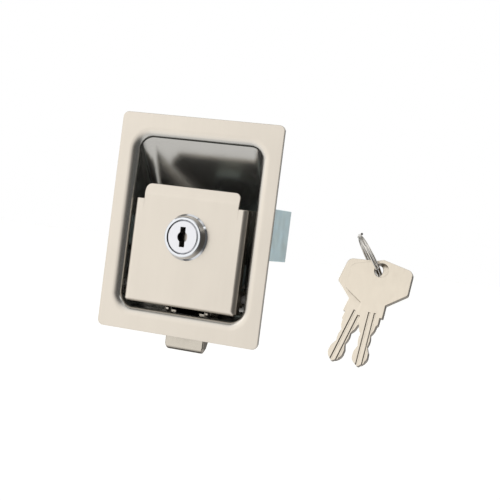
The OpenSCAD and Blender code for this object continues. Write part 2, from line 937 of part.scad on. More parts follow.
module bolt_guide() {
    color("lightsteelblue")
        difference() {
            union() {
                both_sides()
                    along_z(guide_low, guide_top)
                        difference() {
                            union() {
                                box2d(0, guide_front, guide_out, guide_front + sheet);
                                box2d(guide_in, guide_front, guide_out, floor_y);
                                box2d(guide_in, floor_y - sheet, guide_out + guide_foot, floor_y);
                            }
                            corner_sliver([guide_out, guide_front], [-1, 0], [0, 1], sheet);
                        }
                along_z(guide_roof, guide_top)
                    box2d(-guide_in, guide_front + sheet, guide_in, floor_y - sheet);
            }
            // opening for the lever's cheeks
            along_y(guide_front - over, guide_front + sheet + over)
                box2d(-notch_half, guide_low - over, notch_half, notch_top);
            rivet_places()
                along_y(floor_y - sheet - over, floor_y + over)
                    circle(rivet_r);
        }
}

module guide_rivets() {
    color("silver")
        rivet_places()
            rotate([-90, 0, 0])
                rotate_extrude() {
                    box2d(0, floor_y - sheet - rivet_head, rivet_r, back_y + rivet_head);
                    box2d(0, floor_y - sheet - rivet_head, rivet_head_r, floor_y - sheet);
                    box2d(0, back_y, rivet_head_r, back_y + rivet_head);
                }
}

// clamp

module stud_places() {
    for (x = [-1, 1])
        translate([x * stud_spacing / 2, 0, strap_centre])
            children();
}

// weld studs on the tray's back
module clamp_studs() {
    color("silver")
        stud_places()
            along_y(back_y, stud_end)
                circle(stud_r);
}

// U-shaped strap whose legs press the door against the plate
module clamp_strap() {
    low = strap_centre - strap_height / 2;
    color("lightsteelblue")
        difference() {
            along_z(low, low + strap_height)
                difference() {
                    union() {
                        box2d(-leg_out, web_y, leg_out, web_back);
                        both_sides() {
                            box2d(leg_in, grip_open, leg_out, web_back);
                            corner_sliver([leg_in + run_fit, web_y + run_fit], [-1, 0], [0, -1],
                                          strap_bend - strap_sheet);
                        }
                    }
                    both_sides()
                        corner_sliver([leg_out, web_back], [-1, 0], [0, -1], strap_bend);
                }
            // round corners of the legs' ends
            both_sides()
                along_x(leg_in - over, leg_out + over) {
                    corner_sliver([grip_open, low], [1, 0], [0, 1], strap_corner);
                    corner_sliver([grip_open, low + strap_height], [1, 0], [0, -1], strap_corner);
                }
            stud_places()
                along_y(web_y - over, web_back + over)
                    circle(stud_r + slide_gap);
        }
}

module clamp_washers() {
    color("lightgray")
        stud_places()
            along_y(web_back, web_back + stud_washer)
                difference() {
                    circle(stud_diameter);
                    circle(stud_r + slide_gap);
                }
}

module clamp_nuts() {
    y0 = web_back + stud_washer;
    color("lightblue")
        stud_places()
            along_y(y0, y0 + stud_nut)
                difference() {
                    circle(stud_diameter * 0.8 / cos(30), $fn = 6);
                    circle(stud_r + run_fit);
                }
}

// keys

// outline of a key with its tip at the origin and its bow up
module key_outline() {
    half = bow_width / 2;
    // cut edge from the tip up, as shares of the blade's length and of its half width
    bitting = [[0, 0.1], [0.08, 0.57], [0.13, 0.72], [0.18, 0.78], [0.285, 0.745], [0.405, 0.47],
               [0.48, 0.575], [0.56, 0.585], [0.64, 0.5], [0.68, 0.64], [0.73, 0.77], [0.825, 0.85],
               [0.86, 1], [1, 1]];
    edge = concat([for (p = bitting) [p[1] * blade_width / 2, p[0] * blade_length]],
                  [[neck_half, blade_length], [neck_half, blade_length + neck_height], [half, bow_low],
                   [half, bow_high], [0, bow_top]]);
    last = len(edge) - 1;
    difference() {
        polygon(concat(edge, [for (i = [1:last]) [-edge[last - i][0], edge[last - i][1]]]));
        both_sides() {
            corner_sliver([half, bow_low], [neck_half - half, -bow_shoulder], [0, 1], 1.2);
            corner_sliver([half, bow_high], [0, -1], [-half, bow_top - bow_high], 3);
        }
        translate([0, hole_height])
            circle(bow_hole / 2);
    }
}

module key_solid(which) {
    front_grooves = [-0.6, 2.1];
    rear_groove = 0.8;
    translate(key_hole)
        rotate([-key_tilt, 0, 0])
            translate(key_step[which])
                rotate([0, key_lean[which], 0])
                    translate([0, 0, -hole_height])
                        difference() {
                            along_y(0, key_thickness)
                                key_outline();
                            // milled grooves on the two faces of the blade
                            along_y(-over, groove_depth)
                                for (x = front_grooves)
                                    key_groove(x);
                            along_y(key_thickness - groove_depth, key_thickness + over)
                                key_groove(rear_groove);
                        }
}

module key_groove(x) {
    box2d(x - groove_width / 2, -over, x + groove_width / 2, blade_length + 2);
}

module key_1() {
    color("khaki")
        key_solid(0);
}

module key_2() {
    color("khaki")
        key_solid(1);
}

// split ring of two turns
module key_ring() {
    steps = 48;
    turns = 2;
    axle = cross(ring_down, ring_away);
    pitch = ring_wire * 1.08;
    path = [for (i = [0:turns * steps - 2])
        let (a = 360 * i / steps + 200)
            ring_centre + ring_r * (cos(a) * ring_down + sin(a) * ring_away)
                + axle * pitch * (i / steps - turns / 2)];
    color("lightgray")
        wire(path, ring_wire, 8, axle);
}

tray();
hinge_pin();
pin_clip();
pin_spacers();
return_springs();
keeper();
bolt_guide();
guide_rivets();
bolt_springs();
clamp_studs();
paddle();
drive_lever();
cylinder_body();
lock_washer();
cylinder_nut();
plug();
wafers();
wafer_springs();
cam();
cam_washer();
cam_screw();
latch_bolt();
clamp_strap();
clamp_washers();
clamp_nuts();
key_ring();
key_1();
key_2();
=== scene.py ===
import itertools
import json
import math

import bmesh
import bpy
from mathutils import Matrix, Vector


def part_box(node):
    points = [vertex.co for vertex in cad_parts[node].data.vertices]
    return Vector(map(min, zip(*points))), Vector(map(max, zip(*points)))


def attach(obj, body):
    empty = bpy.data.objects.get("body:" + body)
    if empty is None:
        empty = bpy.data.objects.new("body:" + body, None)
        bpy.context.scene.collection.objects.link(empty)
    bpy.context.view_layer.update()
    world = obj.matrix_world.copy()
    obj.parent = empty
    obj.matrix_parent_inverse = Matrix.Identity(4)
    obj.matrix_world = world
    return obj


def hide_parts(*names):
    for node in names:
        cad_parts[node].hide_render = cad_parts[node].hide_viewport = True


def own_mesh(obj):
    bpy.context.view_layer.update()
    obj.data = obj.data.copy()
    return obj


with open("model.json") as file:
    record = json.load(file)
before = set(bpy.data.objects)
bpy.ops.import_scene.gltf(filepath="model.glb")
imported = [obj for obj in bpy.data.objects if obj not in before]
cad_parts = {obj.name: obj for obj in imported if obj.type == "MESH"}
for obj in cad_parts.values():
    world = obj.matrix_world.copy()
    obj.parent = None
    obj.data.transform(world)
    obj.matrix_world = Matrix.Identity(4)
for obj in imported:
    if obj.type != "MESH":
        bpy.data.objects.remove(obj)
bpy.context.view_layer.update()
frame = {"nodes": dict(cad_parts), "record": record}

bl_info = {
    "name": "Flush paddle lock",
    "version": (1, 0, 0),
    "blender": (4, 5, 0),
    "location": "3D View > Sidebar > Paddle lock",
    "description": "Dresses the packed paddle lock: drawn tray, paddle, key cylinder, springs, clamp and keys",
    "category": "Object",
}

MM = 0.001
BODY_OF = {node: body for body, nodes in frame["record"]["behaviour"]["bodies"].items() for node in nodes}


# Values

def linear(code):
    """Linear RGBA of an sRGB hex value."""
    parts = [int(code[i:i + 2], 16) / 255 for i in (1, 3, 5)]
    return [c / 12.92 if c <= 0.04045 else ((c + 0.055) / 1.055) ** 2.4 for c in parts] + [1.0]


def length(name, text, default):
    return bpy.props.FloatProperty(
        name=name, description=text, default=default * MM, unit="LENGTH", subtype="DISTANCE")


def colour(name, text, code):
    return bpy.props.FloatVectorProperty(
        name=name, description=text, default=linear(code)[:3], size=3, min=0.0, max=1.0, subtype="COLOR")


class LockSizes(bpy.types.PropertyGroup):
    sheet: length("Sheet", "Thickness of the tray's and the paddle's steel sheet", 1.5)
    lip: length("Lip", "Depth of the drawn lip round the opening", 3.0)
    lip_reach: length("Lip reach", "Width of the drawn lip, seen from the front", 4.6)
    corner: length("Corner", "Corner radius of the tray's opening", 7.0)
    fillet: length("Floor fillet", "Inside radius between the tray's floor and walls", 4.0)
    plate_corner: length("Plate corner", "Radius of the plate's corners", 3.0)
    fold: length("Fold", "Outer radius of the paddle's folded edges", 2.3)
    tab_corner: length("Tab corner", "Corner radius of the finger tab", 3.0)
    edge: length("Edge", "Rounding of the sheared edges", 0.2)
    thread: length("Thread", "Pitch of the clamp studs' and the barrel's threads", 0.8)


class LockColours(bpy.types.PropertyGroup):
    stainless: colour("Stainless", "Brushed stainless steel", "#CFC7BB")
    drawn: colour("Drawn stainless", "Unbrushed stainless steel inside the tray", "#BCBAB5")
    steel: colour("Bright steel", "Drawn steel of the bolt and pins", "#BFB8AC")
    wire: colour("Spring wire", "Patented spring wire", "#9C9B98")
    zinc: colour("Zinc", "Blue passivated zinc plating", "#D0E4E9")
    straw: colour("Straw", "Straw coloured clouds in the zinc plating", "#C3C2AE")
    chrome: colour("Chrome", "Bright chrome plating", "#D2D4D7")
    casting: colour("Casting", "Bare zinc casting of the barrel", "#4A4A48")
    nickel: colour("Satin nickel", "Satin nickel plating of the plug", "#DADADD")
    # painted shade inside the plug's key slot
    keyway_shade: colour("Keyway", "Unplated inside of the plug", "#242424")
    # the wafers' brass is darkened with painted shade, as they lie deep in the plug
    brass: colour("Brass", "Tarnished brass of the wafers", "#5A4828")
    keys: colour("Key nickel", "Nickel plated brass of the keys", "#DAD0C0")
    # painted shade for the keys' edges and the bolt's sides
    edges: colour("Sheared edges", "Darker sheared edges of the keys and sides of the bolt", "#8C857C")
    ring: colour("Ring", "Bright nickel plating of the key ring", "#CFCBC4")
    nylon: colour("Nylon", "Grey nylon of the spacers", "#4E4C4A")
    floor: colour("Floor", "Pale studio floor", "#F4F4F2")


def sizes():
    return bpy.context.scene.paddle_lock_sizes


def colours():
    return bpy.context.scene.paddle_lock_colours


# Materials

def add(tree, kind, links=(), **settings):
    """Adds a node with its settings, and feeds each named input from a socket or with a value."""
    node = tree.nodes.new(kind)
    for name, value in settings.items():
        setattr(node, name, value)
    for key, value in dict(links).items():
        if isinstance(value, bpy.types.NodeSocket):
            tree.links.new(value, node.inputs[key])
        else:
            node.inputs[key].default_value = value
    return node


def rgba(tint, factor=1.0):
    return [min(c * factor, 1.0) for c in tint] + [1.0]


def start_material(name, metallic):
    """A new material, its tree, its shader and the object coordinates."""
    material = bpy.data.materials.new(name)
    material.use_nodes = True
    tree = material.node_tree
    shader = tree.nodes["Principled BSDF"]
    shader.inputs["Metallic"].default_value = metallic
    return material, tree, shader, add(tree, "ShaderNodeTexCoord").outputs["Object"]


def grain(tree, place, spacing, detail=3.0):
    """Noise whose features are as long as the spacing in mm along x, y and z."""
    scaled = add(tree, "ShaderNodeMapping", {"Vector": place, "Scale": [1 / (s * MM) for s in spacing]})
    return add(tree, "ShaderNodeTexNoise", {"Vector": scaled.outputs["Vector"], "Scale": 1.0, "Detail": detail})


def vary(tree, factor, low, high):
    """Carries a noise factor to the range from low to high; most of the noise lies between 0.3 and 0.7."""
    return add(tree, "ShaderNodeMapRange", {
        "Value": factor, "From Min": 0.3, "From Max": 0.7, "To Min": low, "To Max": high}).outputs["Result"]


def tint(tree, factor, first, second):
    mixed = add(tree, "ShaderNodeMix", {"Factor": factor, "A": first, "B": second}, data_type="RGBA")
    return mixed.outputs["Result"]


def edge_shade_mask(tree, way):
    """How far a surface turns away from a face direction: 0 on the face and its back, 1 on the edges; it masks
    the painted edge shade.
    """
    normal = add(tree, "ShaderNodeTexCoord").outputs["Normal"]
    along = add(tree, "ShaderNodeVectorMath", {0: normal, 1: way}, operation="DOT_PRODUCT").outputs["Value"]
    size = add(tree, "ShaderNodeMath", {0: along}, operation="ABSOLUTE").outputs["Value"]
    # cosines of the angles where a surface is all edge and where it is all face
    return add(tree, "ShaderNodeMapRange", {
        "Value": size, "From Min": 0.75, "From Max": 0.97, "To Min": 1.0, "To Max": 0.0}).outputs["Result"]


def past(tree, place, start, full):
    """Goes from 0 to 1 between two depths along y."""
    depth = add(tree, "ShaderNodeSeparateXYZ", {"Vector": place}).outputs["Y"]
    return add(tree, "ShaderNodeMapRange", {
        "Value": depth, "From Min": start, "From Max": full, "To Min": 0.0, "To Max": 1.0}).outputs["Result"]


def stainless_steel(name, along, drawn):
    """Brushed stainless sheet: soft warm grey streaks along the brushing, smoothed by the die inside the tray."""
    material, tree, shader, place = start_material(name, 1.0)
    base = colours().stainless
    # brush lines are about 0.1 mm apart, and are drawn four times as coarse so that they show
    streaks = grain(tree, place, [0.4 if i != along else 40.0 for i in range(3)]).outputs["Fac"]
    clouds = grain(tree, place, [18.0, 18.0, 26.0], 2.0).outputs["Fac"]
    rough = vary(tree, streaks, 0.29, 0.34)
    height = streaks
    paint = tint(tree, clouds, rgba(base, 0.95), rgba(base, 1.03))
    if drawn:
        # the die's polish starts on the lip
        smooth = past(tree, place, (FRONT + 0.05) * MM, (FRONT + 1.0) * MM)
        polish = vary(tree, clouds, 0.17, 0.23)
        rough = add(tree, "ShaderNodeMix", {"Factor": smooth, "A": rough, "B": polish}).outputs["Result"]
        height = add(tree, "ShaderNodeMix", {"Factor": smooth, "A": streaks, "B": 0.5}).outputs["Result"]
        paint = tint(tree, smooth, paint, rgba(colours().drawn))
        film = add(tree, "ShaderNodeMapRange", {"Value": smooth, "To Min": 1.0, "To Max": 0.93}).outputs["Result"]
        tree.links.new(film, shader.inputs["Metallic"])
    bump = add(tree, "ShaderNodeBump", {"Height": height, "Strength": 0.08, "Distance": 0.02 * MM})
    tree.links.new(paint, shader.inputs["Base Color"])
    tree.links.new(rough, shader.inputs["Roughness"])
    tree.links.new(bump.outputs["Normal"], shader.inputs["Normal"])
    return material


def drawn_steel(name, base, rough, spacing, face=None):
    """Bright drawn or rolled steel: fine lines along the draw and rubbed patches, with painted shade on the sides
    beside a ground face.
    """
    material, tree, shader, place = start_material(name, 1.0)
    lines = grain(tree, place, spacing).outputs["Fac"]
    rubbed = grain(tree, place, [5.0, 5.0, 5.0], 4.0).outputs["Fac"]
    half = add(tree, "ShaderNodeMath", {0: rubbed, 1: 0.5}, operation="MULTIPLY").outputs["Value"]
    worn = add(tree, "ShaderNodeMath", {0: lines, 1: rubbed, 2: half}, operation="MULTIPLY_ADD").outputs["Value"]
    bump = add(tree, "ShaderNodeBump", {"Height": lines, "Strength": 0.1, "Distance": 0.02 * MM})
    paint = tint(tree, rubbed, rgba(base, 0.88), rgba(base, 1.04))
    # painted shade on the sides that turn away from the ground face
    if face:
        paint = tint(tree, edge_shade_mask(tree, face), paint, rgba(colours().edges))
    tree.links.new(paint, shader.inputs["Base Color"])
    tree.links.new(vary(tree, worn, rough * 0.8, rough * 1.3), shader.inputs["Roughness"])
    tree.links.new(bump.outputs["Normal"], shader.inputs["Normal"])
    return material


def zinc_plate(name):
    """Blue passivated zinc: a cool satin film with faint straw and blue clouds a few millimetres wide."""
    material, tree, shader, place = start_material(name, 1.0)
    base = colours().zinc
    clouds = grain(tree, place, [4.0, 4.0, 6.0], 3.0).outputs["Fac"]
    straw = grain(tree, place, [9.0, 9.0, 9.0], 2.0).outputs["Fac"]
    cool = tint(tree, clouds, rgba(base, 0.92), rgba(base, 1.06))
    warm = tint(tree, vary(tree, straw, 0.0, 0.25), cool, rgba(colours().straw))
    fine = grain(tree, place, [0.5, 0.5, 0.5], 3.0).outputs["Fac"]
    bump = add(tree, "ShaderNodeBump", {"Height": fine, "Strength": 0.06, "Distance": 0.02 * MM})
    tree.links.new(warm, shader.inputs["Base Color"])
    tree.links.new(vary(tree, clouds, 0.40, 0.55), shader.inputs["Roughness"])
    tree.links.new(bump.outputs["Normal"], shader.inputs["Normal"])
    return material


def chrome_plate(name):
    """Bright chrome: a mirror with a faint haze left by polishing, and bare dull casting behind the paddle."""
    material, tree, shader, place = start_material(name, 1.0)
    haze = grain(tree, place, [1.2, 1.2, 1.2], 4.0).outputs["Fac"]
    bare = past(tree, place, PADDLE_FRONT * MM, 0.0)
    plated = tint(tree, haze, rgba(colours().chrome, 0.98), rgba(colours().chrome))
    tree.links.new(tint(tree, bare, plated, rgba(colours().casting)), shader.inputs["Base Color"])
    shine = vary(tree, haze, 0.04, 0.09)
    rough = add(tree, "ShaderNodeMix", {"Factor": bare, "A": shine, "B": 0.5}).outputs["Result"]
    tree.links.new(rough, shader.inputs["Roughness"])
    return material


def satin_nickel(name, centre):
    """Satin nickel on a turned face: fine rings round the axis, scratches left by keys, and painted shade inside
    the key slot.
    """
    material, tree, shader, place = start_material(name, 1.0)
    middle = add(tree, "ShaderNodeMapping", {"Vector": place, "Location": [-c for c in centre]}).outputs["Vector"]
    flat = add(tree, "ShaderNodeVectorMath", {0: middle, 1: (1.0, 0.0, 1.0)}, operation="MULTIPLY")
    radius = add(tree, "ShaderNodeVectorMath", {0: flat.outputs["Vector"]}, operation="LENGTH").outputs["Value"]
    # turning marks are about 0.15 mm apart, drawn twice as coarse so that they show
    rings = add(tree, "ShaderNodeTexNoise", {
        "W": radius, "Scale": 1 / (0.3 * MM), "Detail": 2.0}, noise_dimensions="1D")
    nicks = grain(tree, place, [0.5, 2.0, 1.6], 4.0).outputs["Fac"]
    bump = add(tree, "ShaderNodeBump", {"Height": rings.outputs["Fac"], "Strength": 0.06, "Distance": 0.02 * MM})
    base = colours().nickel
    # painted shade: the plug turns dark from just behind its face, down the key slot
    inside = past(tree, place, centre[1] + 0.4 * MM, centre[1] + 0.9 * MM)
    paint = tint(tree, inside, tint(tree, nicks, rgba(base, 0.95), rgba(base, 1.03)), rgba(colours().keyway_shade))
    tree.links.new(paint, shader.inputs["Base Color"])
    tree.links.new(vary(tree, nicks, 0.28, 0.38), shader.inputs["Roughness"])
    tree.links.new(bump.outputs["Normal"], shader.inputs["Normal"])
    return material


def key_nickel(name):
    """Tumbled nickel plating on brass: a warm soft shine with small scratches, and painted shade on the edges."""
    material, tree, shader, place = start_material(name, 1.0)
    base = colours().keys
    worn = grain(tree, place, [7.0, 7.0, 7.0], 3.0).outputs["Fac"]
    scratches = grain(tree, place, [0.5, 3.0, 4.0], 4.0).outputs["Fac"]
    bump = add(tree, "ShaderNodeBump", {"Height": scratches, "Strength": 0.02, "Distance": 0.02 * MM})
    plated = tint(tree, worn, rgba(base, 0.96), rgba(base, 1.02))
    # painted shade on the edges that turn away from the key's face
    paint = tint(tree, edge_shade_mask(tree, KEY_FACE), plated, rgba(colours().edges))
    tree.links.new(paint, shader.inputs["Base Color"])
    tree.links.new(vary(tree, scratches, 0.28, 0.34), shader.inputs["Roughness"])
    tree.links.new(bump.outputs["Normal"], shader.inputs["Normal"])
    return material


def grey_nylon(name):
    """Moulded nylon: dark grey and slightly glossy, with a faint moulding texture."""
    material, tree, shader, place = start_material(name, 0.0)
    base = colours().nylon
    fine = grain(tree, place, [0.6, 0.6, 0.6], 2.0).outputs["Fac"]
    tree.links.new(tint(tree, fine, rgba(base, 0.94), rgba(base)), shader.inputs["Base Color"])
    tree.links.new(vary(tree, fine, 0.38, 0.48), shader.inputs["Roughness"])
    shader.inputs["IOR"].default_value = 1.53
    return material


def finish(name):
    """The material of that name, made when it is first asked for."""
    if name in bpy.data.materials:
        return bpy.data.materials[name]
    front, lock_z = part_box("plug")[0][1], LOCK_Z * MM
    kinds = {
        "drawn stainless": lambda: stainless_steel(name, 2, True),
        "brushed stainless": lambda: stainless_steel(name, 2, False),
        "bright drawn steel": lambda: drawn_steel(name, colours().steel, 0.26, [0.4, 0.4, 12.0]),
        "ground steel": lambda: drawn_steel(name, colours().steel, 0.26, [0.4, 0.4, 12.0], (0.0, 1.0, 0.0)),
        "nickel wire": lambda: drawn_steel(name, colours().ring, 0.13, [0.6, 0.6, 0.6]),
        "patented spring wire": lambda: drawn_steel(name, colours().wire, 0.30, [0.6, 0.6, 0.6]),
        "stamped brass": lambda: drawn_steel(name, colours().brass, 0.32, [0.5, 2.0, 2.0]),
        "passivated zinc": lambda: zinc_plate(name),
        "bright chrome": lambda: chrome_plate(name),
        "satin nickel": lambda: satin_nickel(name, (0.0, front, lock_z)),
        "tumbled key nickel": lambda: key_nickel(name),
        "grey nylon": lambda: grey_nylon(name),
    }
    return kinds[name]()


# Meshes

def new_piece(name, points, faces, material):
    """A piece from points in mm, its faces turned outwards by their order."""
    mesh = bpy.data.meshes.new(name)
    mesh.from_pydata([[c * MM for c in p] for p in points], [], faces)
    mesh.materials.append(finish(material))
    mesh.validate()
    piece = bpy.data.objects.new(name, mesh)
    bpy.context.scene.collection.objects.link(piece)
    return piece


def plain(piece):
    """Turns a piece with its modifiers into a plain mesh."""
    bpy.context.view_layer.update()
    graph = bpy.context.evaluated_depsgraph_get()
    mesh = bpy.data.meshes.new_from_object(piece.evaluated_get(graph), depsgraph=graph)
    piece.modifiers.clear()
    old = piece.data
    piece.data = mesh
    bpy.data.meshes.remove(old)
    mesh.name = piece.name
    return mesh


def settle(piece, angle=20.0):
    """Makes a piece a plain mesh that is smooth up to the angle, with its large faces kept flat."""
    mesh = plain(piece)
    mesh.shade_smooth()
    mesh.set_sharp_from_angle(angle=math.radians(angle))
    flat = piece.modifiers.new("flat faces", "WEIGHTED_NORMAL")
    flat.keep_sharp = True
    plain(piece)
    return piece


def stand_for(piece, *nodes):
    """Makes a piece stand for CAD nodes, on their body, and hides the nodes."""
    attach(piece, BODY_OF[nodes[0]])
    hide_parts(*nodes)
    return piece


def round_edges(piece, width, angle=50.0):
    bevel = piece.modifiers.new("edges", "BEVEL")
    bevel.width = width
    bevel.segments = 2
    bevel.limit_method = "ANGLE"
    bevel.angle_limit = math.radians(angle)
    bevel.use_clamp_overlap = False
    bevel.loop_slide = False


def sheet_metal(piece):
    """Gives a sheet its thickness behind its front face, and rounds its sheared edges."""
    wall = piece.modifiers.new("sheet", "SOLIDIFY")
    wall.thickness = sizes().sheet
    wall.offset = -1.0
    wall.use_even_offset = True
    round_edges(piece, sizes().edge)
    return settle(piece)


def trim_fins(points):
    """Folds hairline fins back: points where two faces lie back to back go to their nearest neighbour."""
    opposite = -0.999
    fins = {v for v in points.verts
            if any(a.normal.dot(b.normal) < opposite for a, b in itertools.combinations(v.link_faces, 2))}
    ends = {}
    for v in fins:
        beside = [e.other_vert(v) for e in v.link_edges if e.other_vert(v) not in fins]
        if beside:
            ends[v] = min(beside, key=lambda other: (other.co - v.co).length)
    bmesh.ops.weld_verts(points, targetmap=ends)
    bmesh.ops.dissolve_degenerate(points, dist=0.0001 * MM, edges=points.edges)


def softened(node, material, width, name=None):
    """A merged copy of a CAD node with its sharp edges rounded by the width in mm."""
    points = bmesh.new()
    points.from_mesh(frame["nodes"][node].data)
    bmesh.ops.remove_doubles(points, verts=points.verts, dist=0.001 * MM)
    trim_fins(points)
    bmesh.ops.dissolve_limit(points, angle_limit=math.radians(0.6), verts=points.verts, edges=points.edges)
    mesh = bpy.data.meshes.new(name or node + "_finished")
    points.to_mesh(mesh)
    points.free()
    if "custom_normal" in mesh.attributes:
        mesh.attributes.remove(mesh.attributes["custom_normal"])
    mesh.materials.clear()
    mesh.materials.append(finish(material))
    for face in mesh.polygons:
        face.material_index = 0
    piece = bpy.data.objects.new(mesh.name, mesh)
    bpy.context.scene.collection.objects.link(piece)
    round_edges(piece, width * MM)
    return stand_for(settle(piece), node)


def turned(name, profile, material, segments=40):
    """A piece turned round the y axis from a closed profile of (radius, y) in mm, or from one at each angle."""
    angles = [2 * math.pi * i / segments for i in range(segments)]
    outlines = [profile(a) if callable(profile) else profile for a in angles]
    count = len(outlines[0])
    points = [(r * math.cos(a), y, r * math.sin(a)) for a, outline in zip(angles, outlines) for r, y in outline]
    faces = []
    for i in range(segments):
        j = (i + 1) % segments
        faces += [(i * count + k, j * count + k, j * count + (k + 1) % count, i * count + (k + 1) % count)
                  for k in range(count)]
    piece = new_piece(name, points, faces, material)
    mesh = bmesh.new()
    mesh.from_mesh(piece.data)
    bmesh.ops.remove_doubles(mesh, verts=mesh.verts, dist=0.001 * MM)
    bmesh.ops.dissolve_degenerate(mesh, edges=mesh.edges, dist=0.0005 * MM)
    bmesh.ops.recalc_face_normals(mesh, faces=mesh.faces)
    mesh.to_mesh(piece.data)
    mesh.free()
    return piece


def hexagon_nut(flats, bore, start, end):
    """Outline of a nut at each angle, with both ends chamfered to the circle across its flats."""
    half = flats / 2

    def outline(angle):
        reach = half / math.cos(angle % (math.pi / 3) - math.pi / 6)
        slope = (reach - half) * math.tan(math.radians(30.0))
        sides = [(reach, start + slope), (reach, end - slope)]
        return [(bore, start), (half, start), *sides, (half, end), (bore, end)]
    return outline


def span(node, axis):
    """Lowest and highest place of a CAD node along an axis in mm."""
    low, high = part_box(node)
    return low[axis] / MM, high[axis] / MM


# Geometry Nodes

def new_tree(name, inputs):
    """A Geometry Nodes tree with named inputs, and its input node."""
    tree = bpy.data.node_groups.new(name, "GeometryNodeTree")
    tree.interface.new_socket(name="Geometry", in_out="OUTPUT", socket_type="NodeSocketGeometry")
    tree.interface.new_socket(name="Geometry", in_out="INPUT", socket_type="NodeSocketGeometry")
    for label, kind in inputs.items():
        tree.interface.new_socket(name=label, in_out="INPUT", socket_type=kind)
    return tree, add(tree, "NodeGroupInput")


def close_tree(tree, geometry, source):
    """Ends a tree in real geometry with the material."""
    real = add(tree, "GeometryNodeRealizeInstances", {"Geometry": geometry})
    smooth = add(tree, "GeometryNodeSetShadeSmooth", {"Geometry": real.outputs["Geometry"]})
    dressed = add(tree, "GeometryNodeSetMaterial", {
        "Geometry": smooth.outputs["Geometry"], "Material": source.outputs["Material"]})
    add(tree, "NodeGroupOutput", {"Geometry": dressed.outputs["Geometry"]})


def wire_tree():
    """Round wire along the edges of a path."""
    if "round wire" in bpy.data.node_groups:
        return bpy.data.node_groups["round wire"]
    tree, source = new_tree("round wire", {
        "Wire radius": "NodeSocketFloat", "Sides": "NodeSocketInt", "Material": "NodeSocketMaterial"})
    path = add(tree, "GeometryNodeMeshToCurve", {"Mesh": source.outputs["Geometry"]})
    ring = add(tree, "GeometryNodeCurvePrimitiveCircle", {
        "Radius": source.outputs["Wire radius"], "Resolution": source.outputs["Sides"]})
    tube = add(tree, "GeometryNodeCurveToMesh", {
        "Curve": path.outputs["Curve"], "Profile Curve": ring.outputs["Curve"], "Fill Caps": True})
    close_tree(tree, tube.outputs["Mesh"], source)
    return tree


def repeat_tree():
    """One piece on every point."""
    if "piece on points" in bpy.data.node_groups:
        return bpy.data.node_groups["piece on points"]
    tree, source = new_tree("piece on points", {"Piece": "NodeSocketObject", "Material": "NodeSocketMaterial"})
    piece = add(tree, "GeometryNodeObjectInfo", {"Object": source.outputs["Piece"]})
    spread = add(tree, "GeometryNodeInstanceOnPoints", {
        "Points": source.outputs["Geometry"], "Instance": piece.outputs["Geometry"]})
    close_tree(tree, spread.outputs["Instances"], source)
    return tree


def grow(piece, tree, values):
    """Puts a tree on a piece and sets its inputs, which a modifier knows by their identifiers."""
    modifier = piece.modifiers.new(tree.name, "NODES")
    modifier.node_group = tree
    names = {s.name: s.identifier for s in tree.interface.items_tree if s.in_out == "INPUT"}
    for name, value in values.items():
        modifier[names[name]] = value


def path_object(name, paths):
    """Paths of points in mm as an object of edges only."""
    points, edges = [], []
    for path in paths:
        first = len(points)
        points += [[c * MM for c in p] for p in path]
        edges += [(i, i + 1) for i in range(first, len(points) - 1)]
    mesh = bpy.data.meshes.new(name)
    mesh.from_pydata(points, edges, [])
    piece = bpy.data.objects.new(name, mesh)
    bpy.context.scene.collection.objects.link(piece)
    return piece


def wires(name, paths, diameter, sides, material):
    """Bent wire pieces along paths in mm."""
    piece = path_object(name, paths)
    grow(piece, wire_tree(), {"Wire radius": diameter / 2 * MM, "Sides": sides, "Material": finish(material)})
    return settle(piece, 50.0)


def repeated(name, pattern, places, material):
    """Copies of a pattern piece at places in mm; the pattern is used up."""
    piece = path_object(name, [[p] for p in places])
    grow(piece, repeat_tree(), {"Piece": pattern, "Material": finish(material)})
    settle(piece)
    used = pattern.data
    bpy.data.objects.remove(pattern)
    bpy.data.meshes.remove(used)
    return piece


# Places in mm that the part's source gives as well

FRONT = -1.5
FLOOR = 22.5
WALL_X = 33.2
WALL_Z = 41.6
SCOOP_FOOT = 12.0
SLOT_HALF = 10.8
SLOT_Y = (8.8, 18.0)
HINGE = (4.4, -30.75)
PADDLE_FRONT = -2.6
PADDLE_HALF = 30.2
PADDLE_LOW = -39.0
SHOULDER = 11.5
TAB_HALF = 25.5
TAB_BEND = 14.2
TAB_TOP = 19.2
TAB_TILT = math.radians(14.0)
EAR = 4.0
FLANGE = 5.0
NOTCH = 1.0
LOCK_Z = -4.844
KEYWAY_TURN = math.radians(2.0)
BEZEL_RIM = 9.9
BARREL = 9.0
BARREL_FLAT = 8.0
PLUG_BORE = 6.4
PLUG_HEAD = 2.1
STUDS = ((-15.0, 1.5), (15.0, 1.5))
STUD_R = 2.5
# chamfer at the bezel's foot
BEZEL_FOOT = 0.9
# width of the extra row of faces that keeps a flat face flat beside a round edge
EDGE_ROW = 0.05
# the keys lean back, and their faces look this way
KEY_LEAN = math.radians(20.0)
KEY_FACE = (0.0, -math.cos(KEY_LEAN), math.sin(KEY_LEAN))


def ring_points(half, low, high, corner, y, steps=8):
    """A rounded rectangle at one depth, with columns at the bolt slot's ends."""
    inner = half - corner
    ring = [(x, low) for x in (-inner, -SLOT_HALF, 0.0, SLOT_HALF, inner)]
    for cx, cz, first in ((inner, low + corner, -90), (inner, high - corner, 0),
                          (-inner, high - corner, 90), (-inner, low + corner, 180)):
        arc = [math.radians(first + 90 * i / steps) for i in range(steps + 1)]
        ring += [(cx + corner * math.cos(a), cz + corner * math.sin(a)) for a in arc[1:]]
        if first == 0:
            ring += [(x, high) for x in (inner / 2, 0.0, -inner / 2)]
            ring.append((-inner, high))
    return [(x, y, z) for x, z in ring[:-1]]


